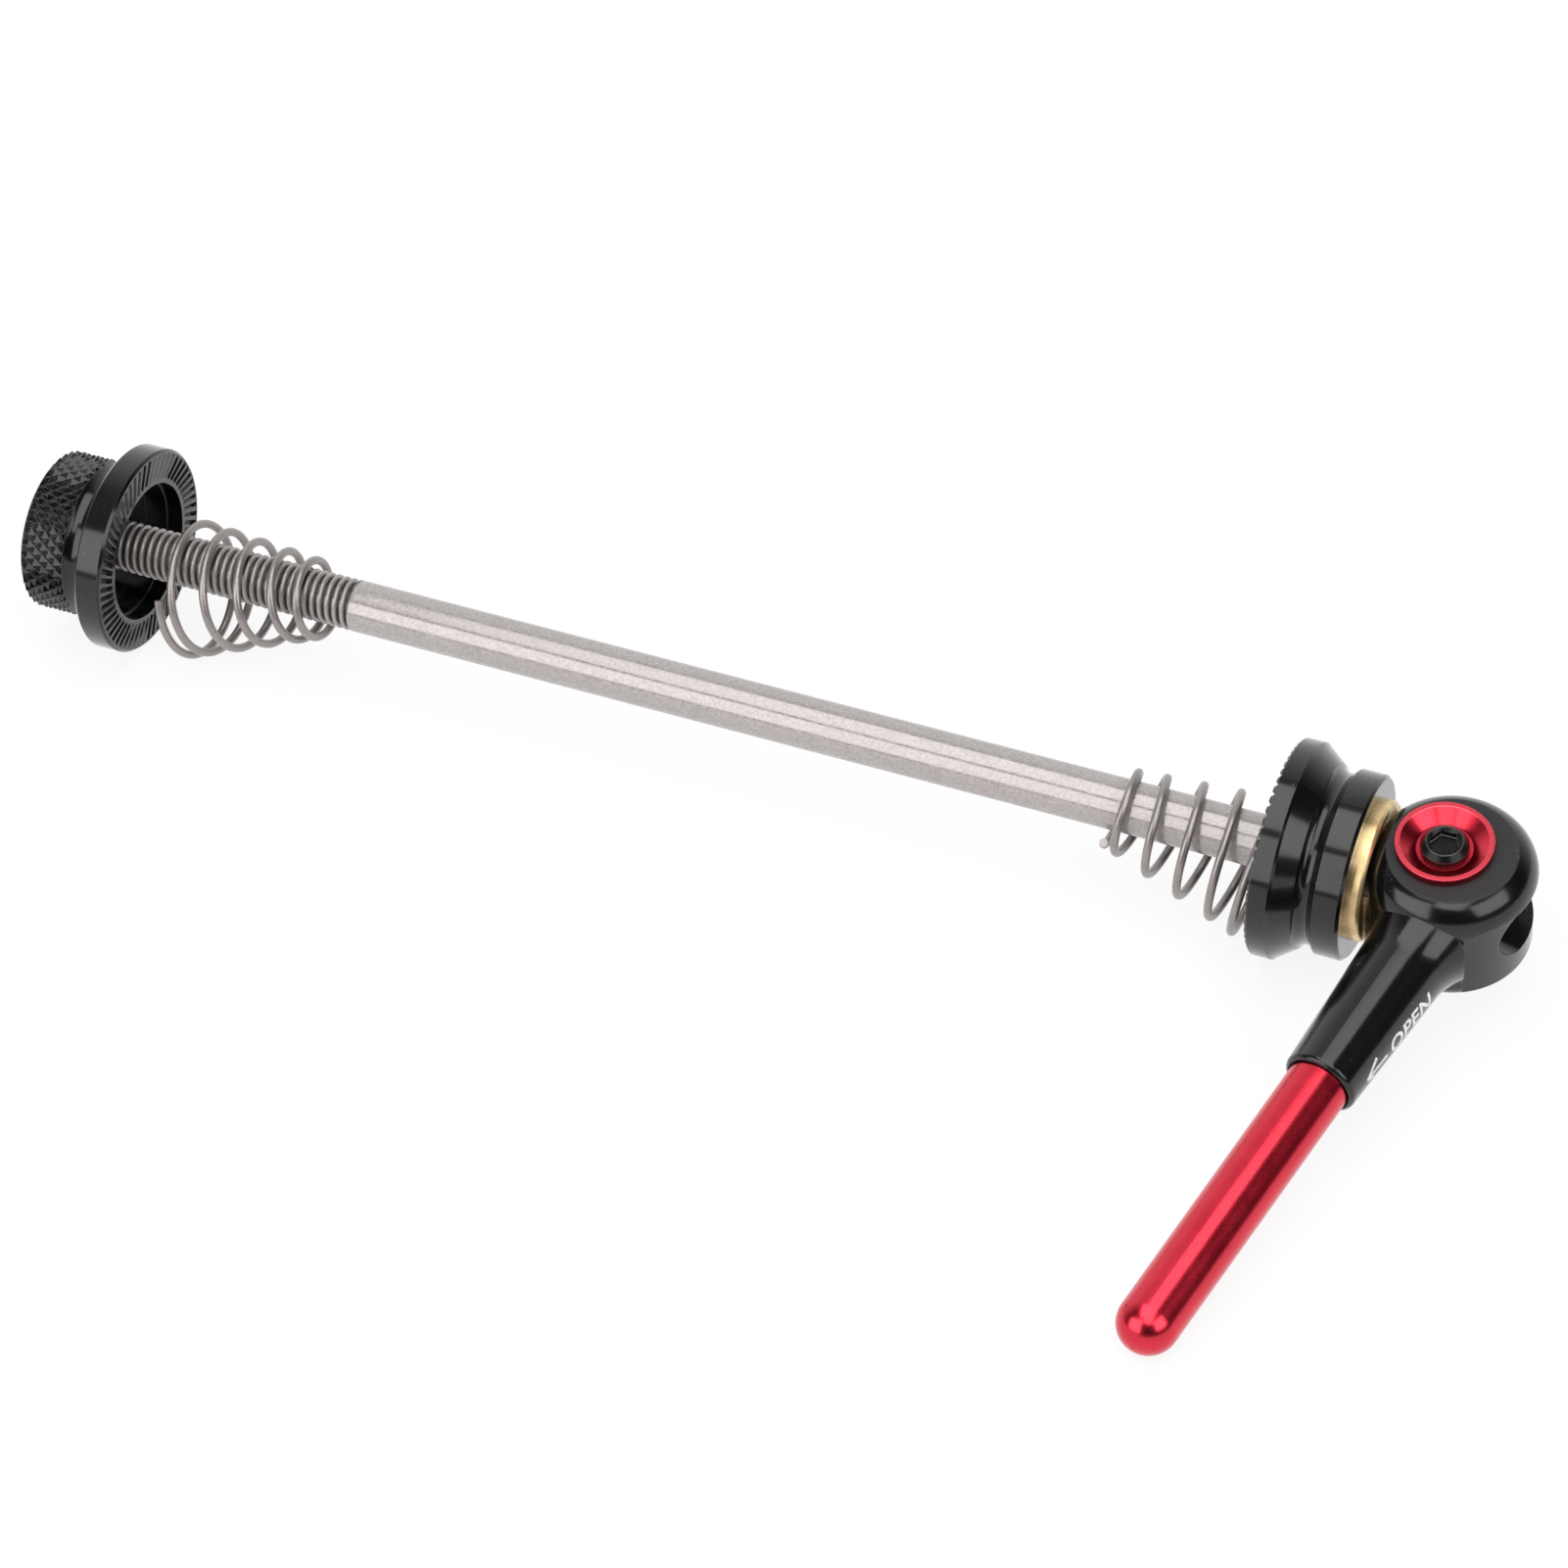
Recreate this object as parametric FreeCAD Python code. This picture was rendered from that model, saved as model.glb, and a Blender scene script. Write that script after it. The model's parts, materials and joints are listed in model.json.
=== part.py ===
import FreeCAD, Part
import math
import os

from FreeCAD import Vector

# Quick release skewer, modelled along X: the adjusting nut's clamping face is at x = 0, the lever is at +X.
# The lever's pivot is built upright; the finished set is rolled until it lies on nut, washer and lever tip.

# Rod
rod_diameter = 5.0
grip_length = 115.4
rod_tip_inset = 1.0
rod_tip_chamfer = 0.5
rod_end_past_pivot = 2.9

# Adjusting nut
flange_diameter = 20.3
nut_flange_thickness = 2.7
nut_flange_chamfer = 0.25
nut_neck_diameter = 15.0
nut_neck_length = 2.8
nut_neck_fall = 0.25
nut_neck_fillet = 1.4
nut_knob_diameter = 15.7
nut_knob_length = 4.5
nut_knob_chamfer = 0.5
thread_clearance = 0.05

# Clamping faces of nut and washer
recess_diameter = 13.7
recess_depth = 4.0
recess_lip = 0.45
recess_step = 0.15
recess_step_depth = 1.65
tooth_count = 60
tooth_groove_width = 0.55
tooth_groove_depth = 0.35
tooth_swirl = 18.0
nut_tooth_rim = 0.45

# Clamp washer and brass cam seat
washer_rim_length = 2.2
washer_rim_chamfer = 0.25
washer_tooth_overrun = 0.5
washer_cone_length = 1.7
washer_groove_diameter = 16.0
washer_groove_length = 1.6
washer_collar_diameter = 17.3
washer_collar_length = 2.8
washer_collar_chamfer = 0.3
slide_clearance = 0.08
seat_diameter = 13.2
seat_inset = 2.0
seat_proud = 1.25
seat_edge_chamfer = 0.25
seat_groove_depth = 1.35
seat_groove_relief = 2.0

# Lever head: an eccentric cam with a rounded upper shoulder
cam_gap = 0.35
cam_eccentricity = 0.78
cam_lead = 10.0
head_radius = 7.7
head_half_height = 6.1
head_ring_radius = 5.75
head_shoulder_drop = 3.1
head_bottom_round = 2.0
track_recess = 0.35
track_top = 3.4
track_corner = 2.2
track_end_angle = 36.7
slot_clearance = 0.45
slot_overrun = 4.0
lever_throw = 190.0

# Lever arm: black socket and red handle
arm_lean = 11.8
arm_offset = 0.35
arm_root_distance = 10.5
arm_root_radius = 4.0
arm_flare_radius = 8.0
arm_flare_depth = 4.0
socket_mouth_distance = 24.2
socket_mouth_radius = 3.45
socket_lip_round = 0.5
socket_depth = 12.0
socket_gap = 0.2
socket_gap_depth = 0.7
handle_root_radius = 2.86
handle_tip_radius = 2.8
handle_reach = 55.4

# Pivot barrel, dished caps and cap screws
barrel_radius = 4.0
pivot_clearance = 0.05
cap_clearance = 0.1
cap_radius = 4.44
cap_rim_height = 0.75
cap_rim_width = 0.45
cap_hub_radius = 3.3
cap_dish_radius = 2.55
cap_dish_depth = 1.05
cap_floor = 1.0
screw_head_radius = 2.2
screw_head_height = 1.1
screw_head_chamfer = 0.5
screw_shank_radius = 1.5
screw_length = 2.9
screw_hex_across_flats = 2.5
screw_hex_depth = 0.9
screw_mouth_radius = 1.6
screw_mouth_depth = 0.3

# Conical wire springs
spring_wire = 0.8
spring_big_radius = 6.5
spring_small_radius = 3.6
spring_length = 14.2
spring_turns = 5.5
spring_start_angle = 152.0
spring_big_closed_turns = 0.4
spring_big_ramp_turns = 0.9
spring_small_closed_turns = 0.6
spring_small_ramp_turns = 0.5
spring_rest_gap = 0.08
nut_spring_standoff = 4.6
washer_spring_gap = 1.05

AXIS_X = Vector(1, 0, 0)
AXIS_Y = Vector(0, 1, 0)
AXIS_Z = Vector(0, 0, 1)
ORIGIN = Vector(0, 0, 0)
SPLINE_POINTS_PER_TURN = 14

# Places along the rod
rod_radius = rod_diameter / 2
flange_radius = flange_diameter / 2
nut_length = nut_flange_thickness + nut_neck_length + nut_knob_length
washer_length = washer_rim_length + washer_cone_length + washer_groove_length + washer_collar_length
washer_back = grip_length + washer_length
seat_back = washer_back + seat_proud
groove_bottom = seat_back - seat_groove_depth
lead = math.radians(cam_lead)
cam_offset = Vector(math.cos(lead), -math.sin(lead), 0) * cam_eccentricity
pivot_x = groove_bottom + cam_gap + head_radius - cam_offset.x
pivot = Vector(pivot_x, 0, 0)
cam_centre = pivot + cam_offset
track_radius = head_radius - track_recess
barrel_half_length = head_half_height + cap_clearance
arm_azimuth = -90.0 - arm_lean

# Roll about the rod that brings the lever's tip down to the floor the flanges lie on
lean = math.radians(arm_lean)
arm_way = Vector(-math.sin(lean), -math.cos(lean), 0)
arm_side = Vector(-arm_way.y, arm_way.x, 0)
tip_centre = cam_centre + arm_way * (handle_reach - handle_tip_radius) + arm_side * arm_offset
rest_roll = math.degrees(math.asin((flange_radius - handle_tip_radius) / -tip_centre.y))


def turned(outline):
    """Solid turned about X from (along, radius) points; a pair of points is an arc by way of the first."""
    place = lambda point: Vector(point[0], 0, point[1])
    start = place(outline[0])
    here = start
    edges = []
    for step in outline[1:] + [outline[0]]:
        if isinstance(step[0], tuple):
            there = place(step[1])
            edges.append(Part.Arc(here, place(step[0]), there).toShape())
        else:
            there = place(step)
            edges.append(Part.makeLine(here, there))
        here = there
    return Part.Face(Part.Wire(edges)).revolve(ORIGIN, AXIS_X, 360)


def upright(shape, at):
    """Turn a shape made about X so that it stands about the upright axis through a point."""
    shape.rotate(ORIGIN, AXIS_Y, -90)
    shape.translate(at)
    return shape


def quarter_arc(start, end, bulge_out):
    """Quarter round from start to end as an arc step, bulging outwards or hollowed inwards."""
    corner = (start[0], end[1]) if bulge_out else (end[0], start[1])
    share = math.sqrt(0.5)
    far = (start[0] + end[0] - corner[0], start[1] + end[1] - corner[1])
    middle = (far[0] + (corner[0] - far[0]) * share, far[1] + (corner[1] - far[1]) * share)
    return (middle, end)


def pie(centre, radius, low, high, start, end):
    """Sector of an upright cylinder between two azimuths."""
    sector = Part.makeCylinder(radius, high - low, Vector(0, 0, low), AXIS_Z, end - start)
    sector.rotate(ORIGIN, AXIS_Z, start)
    sector.translate(centre)
    return sector


def azimuth(degrees):
    return Vector(math.cos(math.radians(degrees)), math.sin(math.radians(degrees)), 0)


def clamping_teeth(face_x, into, outer):
    """Slanted grooves of a serrated clamping face; into is the side on which the material lies."""
    inner = recess_diameter / 2 + recess_lip
    swirl = math.radians(tooth_swirl)
    half = tooth_groove_width / 2
    section = [
        Vector(face_x - into * tooth_groove_depth, 0, 0),
        Vector(face_x, -half, 0),
        Vector(face_x + into * tooth_groove_depth, 0, 0),
        Vector(face_x, half, 0),
    ]
    start = outer * math.cos(swirl) - math.sqrt(inner ** 2 - (outer * math.sin(swirl)) ** 2)
    groove = Part.Face(Part.makePolygon(section + section[:1])).extrude(Vector(0, 0, -start))
    groove.rotate(Vector(face_x, 0, 0), AXIS_X, into * tooth_swirl)
    groove.translate(Vector(0, 0, outer))
    grooves = []
    for index in range(tooth_count):
        copy = groove.copy()
        copy.rotate(ORIGIN, AXIS_X, 360.0 * index / tooth_count)
        grooves.append(copy)
    return grooves


def skewer_rod():
    tip = -nut_length + rod_tip_inset
    return turned([
        (tip, 0),
        (tip, rod_radius - rod_tip_chamfer),
        (tip + rod_tip_chamfer, rod_radius),
        (pivot_x + rod_end_past_pivot, rod_radius),
        (pivot_x + rod_end_past_pivot, 0),
    ])


def adjusting_nut():
    recess = recess_diameter / 2
    bore = rod_radius + thread_clearance
    knob = nut_knob_diameter / 2
    neck = nut_neck_diameter / 2
    waist = neck - nut_neck_fall
    neck_front = -nut_flange_thickness
    knob_front = neck_front - nut_neck_length
    body = turned([
        (-nut_length, bore),
        (-nut_length, knob - nut_knob_chamfer),
        (-nut_length + nut_knob_chamfer, knob),
        (knob_front, knob),
        (knob_front, neck),
        (neck_front - nut_neck_fillet, waist),
        quarter_arc((neck_front - nut_neck_fillet, waist), (neck_front, waist + nut_neck_fillet), False),
        (neck_front, flange_radius - nut_flange_chamfer),
        (neck_front + nut_flange_chamfer, flange_radius),
        (-nut_flange_chamfer, flange_radius),
        (0, flange_radius - nut_flange_chamfer),
        (0, recess),
        (-recess_step_depth, recess),
        (-recess_step_depth, recess - recess_step),
        (-recess_depth, recess - recess_step),
        (-recess_depth, bore),
    ])
    return body.cut(clamping_teeth(0, -1, flange_radius - nut_tooth_rim))


def clamp_washer():
    recess = recess_diameter / 2
    bore = rod_radius + slide_clearance
    seat = seat_diameter / 2
    groove = washer_groove_diameter / 2
    collar = washer_collar_diameter / 2
    cone_front = grip_length + washer_rim_length
    groove_front = cone_front + washer_cone_length
    collar_front = groove_front + washer_groove_length
    groove_middle = (groove_front + collar_front) / 2
    body = turned([
        (grip_length, recess),
        (grip_length, flange_radius - washer_rim_chamfer),
        (grip_length + washer_rim_chamfer, flange_radius),
        (cone_front - washer_rim_chamfer, flange_radius),
        (cone_front, flange_radius - washer_rim_chamfer),
        (groove_front, collar),
        ((groove_middle, groove), (collar_front, collar - washer_collar_chamfer)),
        (collar_front + washer_collar_chamfer, collar),
        (washer_back - washer_collar_chamfer, collar),
        (washer_back, collar - washer_collar_chamfer),
        (washer_back, seat),
        (washer_back - seat_inset, seat),
        (washer_back - seat_inset, bore),
        (grip_length + recess_depth, bore),
        (grip_length + recess_depth, recess - recess_step),
        (grip_length + recess_step_depth, recess - recess_step),
        (grip_length + recess_step_depth, recess),
    ])
    return body.cut(clamping_teeth(grip_length, 1, flange_radius + washer_tooth_overrun))


def cam_seat():
    seat = seat_diameter / 2
    bore = rod_radius + slide_clearance
    disc = turned([
        (washer_back - seat_inset, bore),
        (washer_back - seat_inset, seat),
        (seat_back - seat_edge_chamfer, seat),
        (seat_back, seat - seat_edge_chamfer),
        (seat_back, bore),
    ])
    groove_centre = Vector(groove_bottom + head_radius + seat_groove_relief, 0, 0)
    return disc.cut(head_form(seat_groove_relief, groove_centre))


def pivot_barrel():
    hub_depth = cap_dish_depth + cap_floor - cap_rim_height
    hub_floor = barrel_half_length - hub_depth
    tap_floor = hub_floor + cap_floor - screw_length
    foot = pivot - AXIS_Z * barrel_half_length
    barrel = Part.makeCylinder(barrel_radius, 2 * barrel_half_length, foot, AXIS_Z)
    reach = rod_end_past_pivot + barrel_radius
    tools = [Part.makeCylinder(rod_radius, reach, pivot - AXIS_X * barrel_radius, AXIS_X)]
    for side in (1, -1):
        way = AXIS_Z * side
        tap_depth = hub_floor - tap_floor
        tools.append(Part.makeCylinder(cap_hub_radius, hub_depth, pivot + way * hub_floor, way))
        tools.append(Part.makeCylinder(screw_shank_radius, tap_depth, pivot + way * tap_floor, way))
    return barrel.cut(tools)


def dished_cap():
    """Upper cap: a rim that holds the lever on the barrel, and a funnel down to the screw's seat."""
    rim_top = barrel_half_length + cap_rim_height
    dish_floor = rim_top - cap_dish_depth
    hub_floor = dish_floor - cap_floor
    return upright(turned([
        (hub_floor, screw_shank_radius),
        (hub_floor, cap_hub_radius),
        (barrel_half_length, cap_hub_radius),
        (barrel_half_length, cap_radius),
        (rim_top, cap_radius),
        (rim_top, cap_radius - cap_rim_width),
        (dish_floor, cap_dish_radius),
        (dish_floor, screw_shank_radius),
    ]), pivot)


def cap_screw():
    seat = barrel_half_length + cap_rim_height - cap_dish_depth
    top = seat + screw_head_height
    body = upright(turned([
        (seat - screw_length, 0),
        (seat - screw_length, screw_shank_radius),
        (seat, screw_shank_radius),
        (seat, screw_head_radius),
        (top - screw_head_chamfer, screw_head_radius),
        (top, screw_head_radius - screw_head_chamfer),
        (top, 0),
    ]), pivot)
    corner = screw_hex_across_flats / math.sqrt(3)
    hexagon = [pivot + azimuth(60 * side) * corner + AXIS_Z * (top - screw_hex_depth) for side in range(6)]
    socket = Part.Face(Part.makePolygon(hexagon + hexagon[:1])).extrude(AXIS_Z * screw_hex_depth)
    mouth_foot = pivot + AXIS_Z * (top - screw_mouth_depth)
    mouth = Part.makeCone(screw_hex_across_flats / 2, screw_mouth_radius, screw_mouth_depth, mouth_foot, AXIS_Z)
    return body.cut([socket, mouth])


def lower(shape):
    """The same piece on the underside of the lever head."""
    shape.rotate(pivot, AXIS_X, 180)
    return shape


def head_form(relief, centre):
    """Round lever head with its domed shoulder, or the seat's groove for it, wider by a relief."""
    side = head_radius + relief
    shoulder_width = head_radius - head_ring_radius
    shoulder_radius = (shoulder_width ** 2 + head_shoulder_drop ** 2) / (2 * shoulder_width)
    half_turn = math.atan2(head_shoulder_drop, shoulder_radius - shoulder_width) / 2
    shoulder_low = head_half_height - head_shoulder_drop
    shoulder_middle = (
        shoulder_low + shoulder_radius * math.sin(half_turn),
        side - shoulder_radius * (1 - math.cos(half_turn)),
    )
    bottom_start = (-head_half_height, side - head_bottom_round)
    bottom_end = (-head_half_height + head_bottom_round, side)
    return upright(turned([
        (-head_half_height, 0),
        bottom_start,
        quarter_arc(bottom_start, bottom_end, True),
        (shoulder_low, side),
        (shoulder_middle, (head_half_height, side - shoulder_width)),
        (head_half_height, 0),
    ]), centre)


def along_arm(shape):
    """Lay a shape made about X along the lever arm, from the cam's centre outwards."""
    shape.rotate(ORIGIN, AXIS_Z, arm_azimuth)
    shape.translate(cam_centre + arm_side * arm_offset)
    return shape


def arm_socket():
    half_flare = math.asin(arm_flare_depth / arm_flare_radius) / 2

    def flare(turn):
        away = arm_flare_radius * math.sin(turn)
        return (arm_root_distance - away, arm_root_radius + arm_flare_radius * (1 - math.cos(turn)))

    flare_end = flare(2 * half_flare)
    lip_start = (socket_mouth_distance - socket_lip_round, socket_mouth_radius)
    lip_end = (socket_mouth_distance, socket_mouth_radius - socket_lip_round)
    middle_share = math.sqrt(0.5)
    lip_middle = (
        lip_start[0] + socket_lip_round * middle_share,
        lip_end[1] + socket_lip_round * middle_share,
    )
    return along_arm(turned([
        (flare_end[0], 0),
        flare_end,
        (flare(half_flare), (arm_root_distance, arm_root_radius)),
        lip_start,
        (lip_middle, lip_end),
        (socket_mouth_distance, 0),
    ]))


def cam_track():
    """Waste outside the cam's working surface, round the back of the head between the arm's two sides."""
    below = -2 * head_half_height
    far = 2 * head_radius
    start = arm_azimuth + track_end_angle
    end = arm_azimuth + 360.0 - track_end_angle
    waste = pie(cam_centre, far, below, track_top, start, end)
    core = Part.makeCylinder(track_radius, track_top - below, cam_centre + AXIS_Z * below, AXIS_Z)
    waste = waste.cut(core)
    corners = []
    for edge in waste.Edges:
        straight = isinstance(edge.Curve, Part.Line)
        level = edge.BoundBox.ZMin > track_top / 2
        if straight and level:
            corners.append(edge)
    return waste.makeFillet(track_corner, corners)


def rod_slot():
    """Room for the rod as the lever swings from open to closed."""
    half = rod_radius + slot_clearance
    far = 2 * head_radius
    start = 180.0 - lever_throw - slot_overrun
    end = 180.0 + slot_overrun
    cutters = [pie(pivot, far, -half, half, start, end)]
    for angle in (start, end):
        cutters.append(Part.makeCylinder(half, far, pivot, azimuth(angle)))
    return cutters


def lever_body():
    body = head_form(0, cam_centre).fuse(arm_socket())
    body = body.cut(cam_track())
    bore = barrel_radius + pivot_clearance
    low = pivot - AXIS_Z * 2 * head_half_height
    socket_floor = socket_mouth_distance - socket_depth
    gap_floor = socket_mouth_distance - socket_gap_depth
    tools = rod_slot()
    tools.append(Part.makeCylinder(bore, 4 * head_half_height, low, AXIS_Z))
    tools.append(along_arm(turned([
        (socket_floor, 0),
        (socket_floor, handle_root_radius),
        (gap_floor, handle_root_radius),
        (gap_floor, handle_root_radius + socket_gap),
        (socket_mouth_distance, handle_root_radius + socket_gap),
        (socket_mouth_distance, 0),
    ])))
    return body.cut(tools)


def lever_handle():
    dome_start = (handle_reach - handle_tip_radius, handle_tip_radius)
    dome_end = (handle_reach, 0)
    return along_arm(turned([
        (socket_mouth_distance - socket_depth, 0),
        (socket_mouth_distance - socket_depth, handle_root_radius),
        (socket_mouth_distance, handle_root_radius),
        dome_start,
        quarter_arc(dome_start, dome_end, False),
    ]))


def coil_openness(turn):
    """Share of the full pitch at a turn: none in the closed turns of both ends, all between the ramps."""
    after_big = (turn - spring_big_closed_turns) / spring_big_ramp_turns
    before_small = (spring_turns - spring_small_closed_turns - turn) / spring_small_ramp_turns
    return max(0.0, min(1.0, after_big, before_small))


def conical_spring():
    """Right-hand conical spring from its big end at x = 0, with its top line lying along the rod."""
    steps = round(SPLINE_POINTS_PER_TURN * spring_turns)
    step = spring_turns / steps
    shares = [coil_openness((index + 0.5) * step) for index in range(steps)]
    opening = (spring_length - spring_wire * spring_turns) / (sum(shares) * step)
    along = 0.0
    points = []
    for index in range(steps + 1):
        radius = spring_big_radius + (spring_small_radius - spring_big_radius) * along / spring_length
        around = azimuth(spring_start_angle + 360.0 * index * step) * radius
        points.append(Vector(along, around.x, around.y))
        if index < steps:
            along += (spring_wire + opening * shares[index]) * step
    coil = Part.BSplineCurve()
    coil.interpolate(points)
    section = Part.makeCircle(spring_wire / 2, points[0], coil.tangent(coil.FirstParameter)[0])
    spring = Part.Wire([coil.toShape()]).makePipeShell([Part.Wire([section])], True, True)
    taper = math.asin((spring_big_radius - spring_small_radius) / spring_length)
    spring.rotate(ORIGIN, AXIS_Y, -math.degrees(taper))
    line_height = spring_big_radius * math.cos(taper)
    rest = rod_radius + spring_rest_gap + spring_wire / 2
    spring.translate(Vector(0, 0, rest - line_height))
    return spring


def hung(spring):
    """The coils hang straight down from the rod once the set is rolled."""
    spring.rotate(ORIGIN, AXIS_X, -rest_roll)
    return spring


def nut_spring():
    spring = conical_spring()
    spring.translate(Vector(nut_spring_standoff, 0, 0))
    return hung(spring)


def lever_spring():
    spring = conical_spring()
    spring.rotate(ORIGIN, AXIS_Z, 180)
    spring.translate(Vector(grip_length - washer_spring_gap - spring_wire / 2, 0, 0))
    return hung(spring)


pieces = {
    "skewer_rod": skewer_rod(),
    "adjusting_nut": adjusting_nut(),
    "nut_spring": nut_spring(),
    "lever_spring": lever_spring(),
    "clamp_washer": clamp_washer(),
    "cam_seat": cam_seat(),
    "pivot_barrel": pivot_barrel(),
    "upper_cap": dished_cap(),
    "lower_cap": lower(dished_cap()),
    "upper_cap_screw": cap_screw(),
    "lower_cap_screw": lower(cap_screw()),
    "lever_body": lever_body(),
    "lever_handle": lever_handle(),
}

# Rolled about the rod, the set lies on the two flanges and the lever's tip
os.makedirs("parts", exist_ok=True)
for name, shape in pieces.items():
    shape.rotate(ORIGIN, AXIS_X, rest_roll)
    shape.exportStep("parts/" + name + ".step")
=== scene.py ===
"""Looks of a quick release skewer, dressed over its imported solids.

Lengths are in metres, and X runs along the rod from the nut to the lever.
"""
import json
import math

import bmesh
import bpy
from mathutils import Euler, Matrix, Vector

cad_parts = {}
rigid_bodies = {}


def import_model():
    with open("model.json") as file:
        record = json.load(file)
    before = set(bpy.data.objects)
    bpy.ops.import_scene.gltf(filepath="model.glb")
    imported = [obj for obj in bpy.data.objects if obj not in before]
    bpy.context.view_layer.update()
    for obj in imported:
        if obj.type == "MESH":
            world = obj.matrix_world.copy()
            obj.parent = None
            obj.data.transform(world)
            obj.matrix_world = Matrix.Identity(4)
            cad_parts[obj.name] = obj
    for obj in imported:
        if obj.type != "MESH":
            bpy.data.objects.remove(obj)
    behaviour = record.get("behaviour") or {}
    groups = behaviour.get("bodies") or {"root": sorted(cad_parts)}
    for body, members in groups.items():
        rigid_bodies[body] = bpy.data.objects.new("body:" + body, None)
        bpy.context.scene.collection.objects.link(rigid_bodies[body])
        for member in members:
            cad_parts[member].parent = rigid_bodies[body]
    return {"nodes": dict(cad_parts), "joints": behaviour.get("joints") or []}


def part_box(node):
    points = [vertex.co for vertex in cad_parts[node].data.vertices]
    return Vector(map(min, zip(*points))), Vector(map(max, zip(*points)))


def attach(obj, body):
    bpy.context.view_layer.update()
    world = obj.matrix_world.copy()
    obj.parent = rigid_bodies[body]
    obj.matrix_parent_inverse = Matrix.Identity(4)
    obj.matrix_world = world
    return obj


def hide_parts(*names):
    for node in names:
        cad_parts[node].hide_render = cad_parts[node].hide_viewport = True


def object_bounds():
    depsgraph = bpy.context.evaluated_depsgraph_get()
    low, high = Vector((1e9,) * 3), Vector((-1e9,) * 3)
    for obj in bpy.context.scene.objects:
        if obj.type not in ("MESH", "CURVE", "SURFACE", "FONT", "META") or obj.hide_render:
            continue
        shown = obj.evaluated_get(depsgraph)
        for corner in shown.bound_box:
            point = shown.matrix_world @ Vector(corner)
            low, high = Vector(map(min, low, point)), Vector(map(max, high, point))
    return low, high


MM = 0.001
# How close counts as one place, one point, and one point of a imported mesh
NEAR = 0.01 * MM
WELD = 0.001 * MM
HAIR = 0.0005 * MM
AXIS_X = Vector((1, 0, 0))
# Heights along the lever's pivot, from its middle
HEAD_HALF_HEIGHT = 6.1 * MM
CAP_TOP = 6.95 * MM

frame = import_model()
nodes = frame["nodes"]
cad_low, cad_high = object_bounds()
lever_joint = next(joint for joint in frame["joints"] if joint["name"] == "lever_fold")
pivot = Vector(lever_joint["pos_m"])
pivot_axis = Vector(lever_joint["axis"])
roll = math.asin(-pivot_axis.y)


# Hand tools

def deselect():
    if bpy.context.object and bpy.context.object.mode != "OBJECT":
        put_down()
    bpy.ops.object.select_all(action="DESELECT")


def put_down():
    """Close the mesh that is open for editing."""
    bpy.ops.object.mode_set(mode="OBJECT")


def take(piece):
    """Make a piece the only selected object."""
    deselect()
    piece.select_set(True)
    bpy.context.view_layer.objects.active = piece


def work_on(piece):
    """Take a piece and open its mesh for editing."""
    take(piece)
    bpy.ops.object.mode_set(mode="EDIT")


def pick(piece, part, test):
    """Select, in edit mode, the faces or edges of a piece that pass a test."""
    modes = {"faces": "FACE", "edges": "EDGE"}
    bpy.ops.mesh.select_mode(type=modes[part])
    bpy.ops.mesh.select_all(action="DESELECT")
    mesh = bmesh.from_edit_mesh(piece.data)
    for element in getattr(mesh, part):
        if test(element):
            element.select_set(True)
    mesh.select_flush_mode()
    bmesh.update_edit_mesh(piece.data)


def close_up(piece):
    """Merge doubles and point all faces outwards."""
    work_on(piece)
    bpy.ops.mesh.select_all(action="SELECT")
    bpy.ops.mesh.remove_doubles(threshold=WELD)
    bpy.ops.mesh.normals_make_consistent(inside=False)
    put_down()


def join(pieces, name):
    deselect()
    for piece in pieces:
        piece.select_set(True)
    bpy.context.view_layer.objects.active = pieces[0]
    bpy.ops.object.join()
    pieces[0].name = name
    pieces[0].data.name = name
    return pieces[0]


def smooth(piece, degrees):
    """Shade smooth across all edges flatter than an angle."""
    take(piece)
    bpy.ops.object.shade_smooth_by_angle(angle=math.radians(degrees))


def settle(piece):
    """Put the piece's place into its mesh."""
    take(piece)
    bpy.ops.object.transform_apply(location=True, rotation=True, scale=True)


def apply(piece, kind, **settings):
    """Add one modifier to a piece and apply it."""
    take(piece)
    modifier = piece.modifiers.new(kind.lower(), kind)
    for key, value in settings.items():
        setattr(modifier, key, value)
    bpy.ops.object.modifier_apply(modifier=modifier.name)


def merged_copy(node, name):
    """A copy of a solid's mesh with its triangles joined."""
    take(nodes[node])
    bpy.ops.object.duplicate()
    piece = bpy.context.object
    bpy.ops.object.parent_clear(type="CLEAR")
    piece.name = name
    piece.data.name = name
    for key in list(piece.keys()):
        del piece[key]
    work_on(piece)
    bpy.ops.mesh.customdata_custom_splitnormals_clear()
    bpy.ops.mesh.select_all(action="SELECT")
    bpy.ops.mesh.remove_doubles(threshold=HAIR)
    put_down()
    return piece


def radius_of(point):
    """Distance of a point from the rod's axis."""
    return math.hypot(point.y, point.z)


# Node trees

class Wire:
    """A node's output that takes Python arithmetic; each operation adds a Math node."""

    def __init__(self, sheet, node, output):
        self.sheet = sheet
        self.node = node
        self.socket = node.outputs[output]

    def __getitem__(self, output):
        return Wire(self.sheet, self.node, output)

    def math(self, operation, first, second):
        return self.sheet.node("ShaderNodeMath", {"operation": operation}, {0: first, 1: second})

    def __add__(self, other):
        return self.math("ADD", self, other)

    __radd__ = __add__

    def __sub__(self, other):
        return self.math("SUBTRACT", self, other)

    def __rsub__(self, other):
        return self.math("SUBTRACT", other, self)

    def __mul__(self, other):
        return self.math("MULTIPLY", self, other)

    __rmul__ = __mul__

    def __pow__(self, other):
        return self.math("POWER", self, other)


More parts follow.
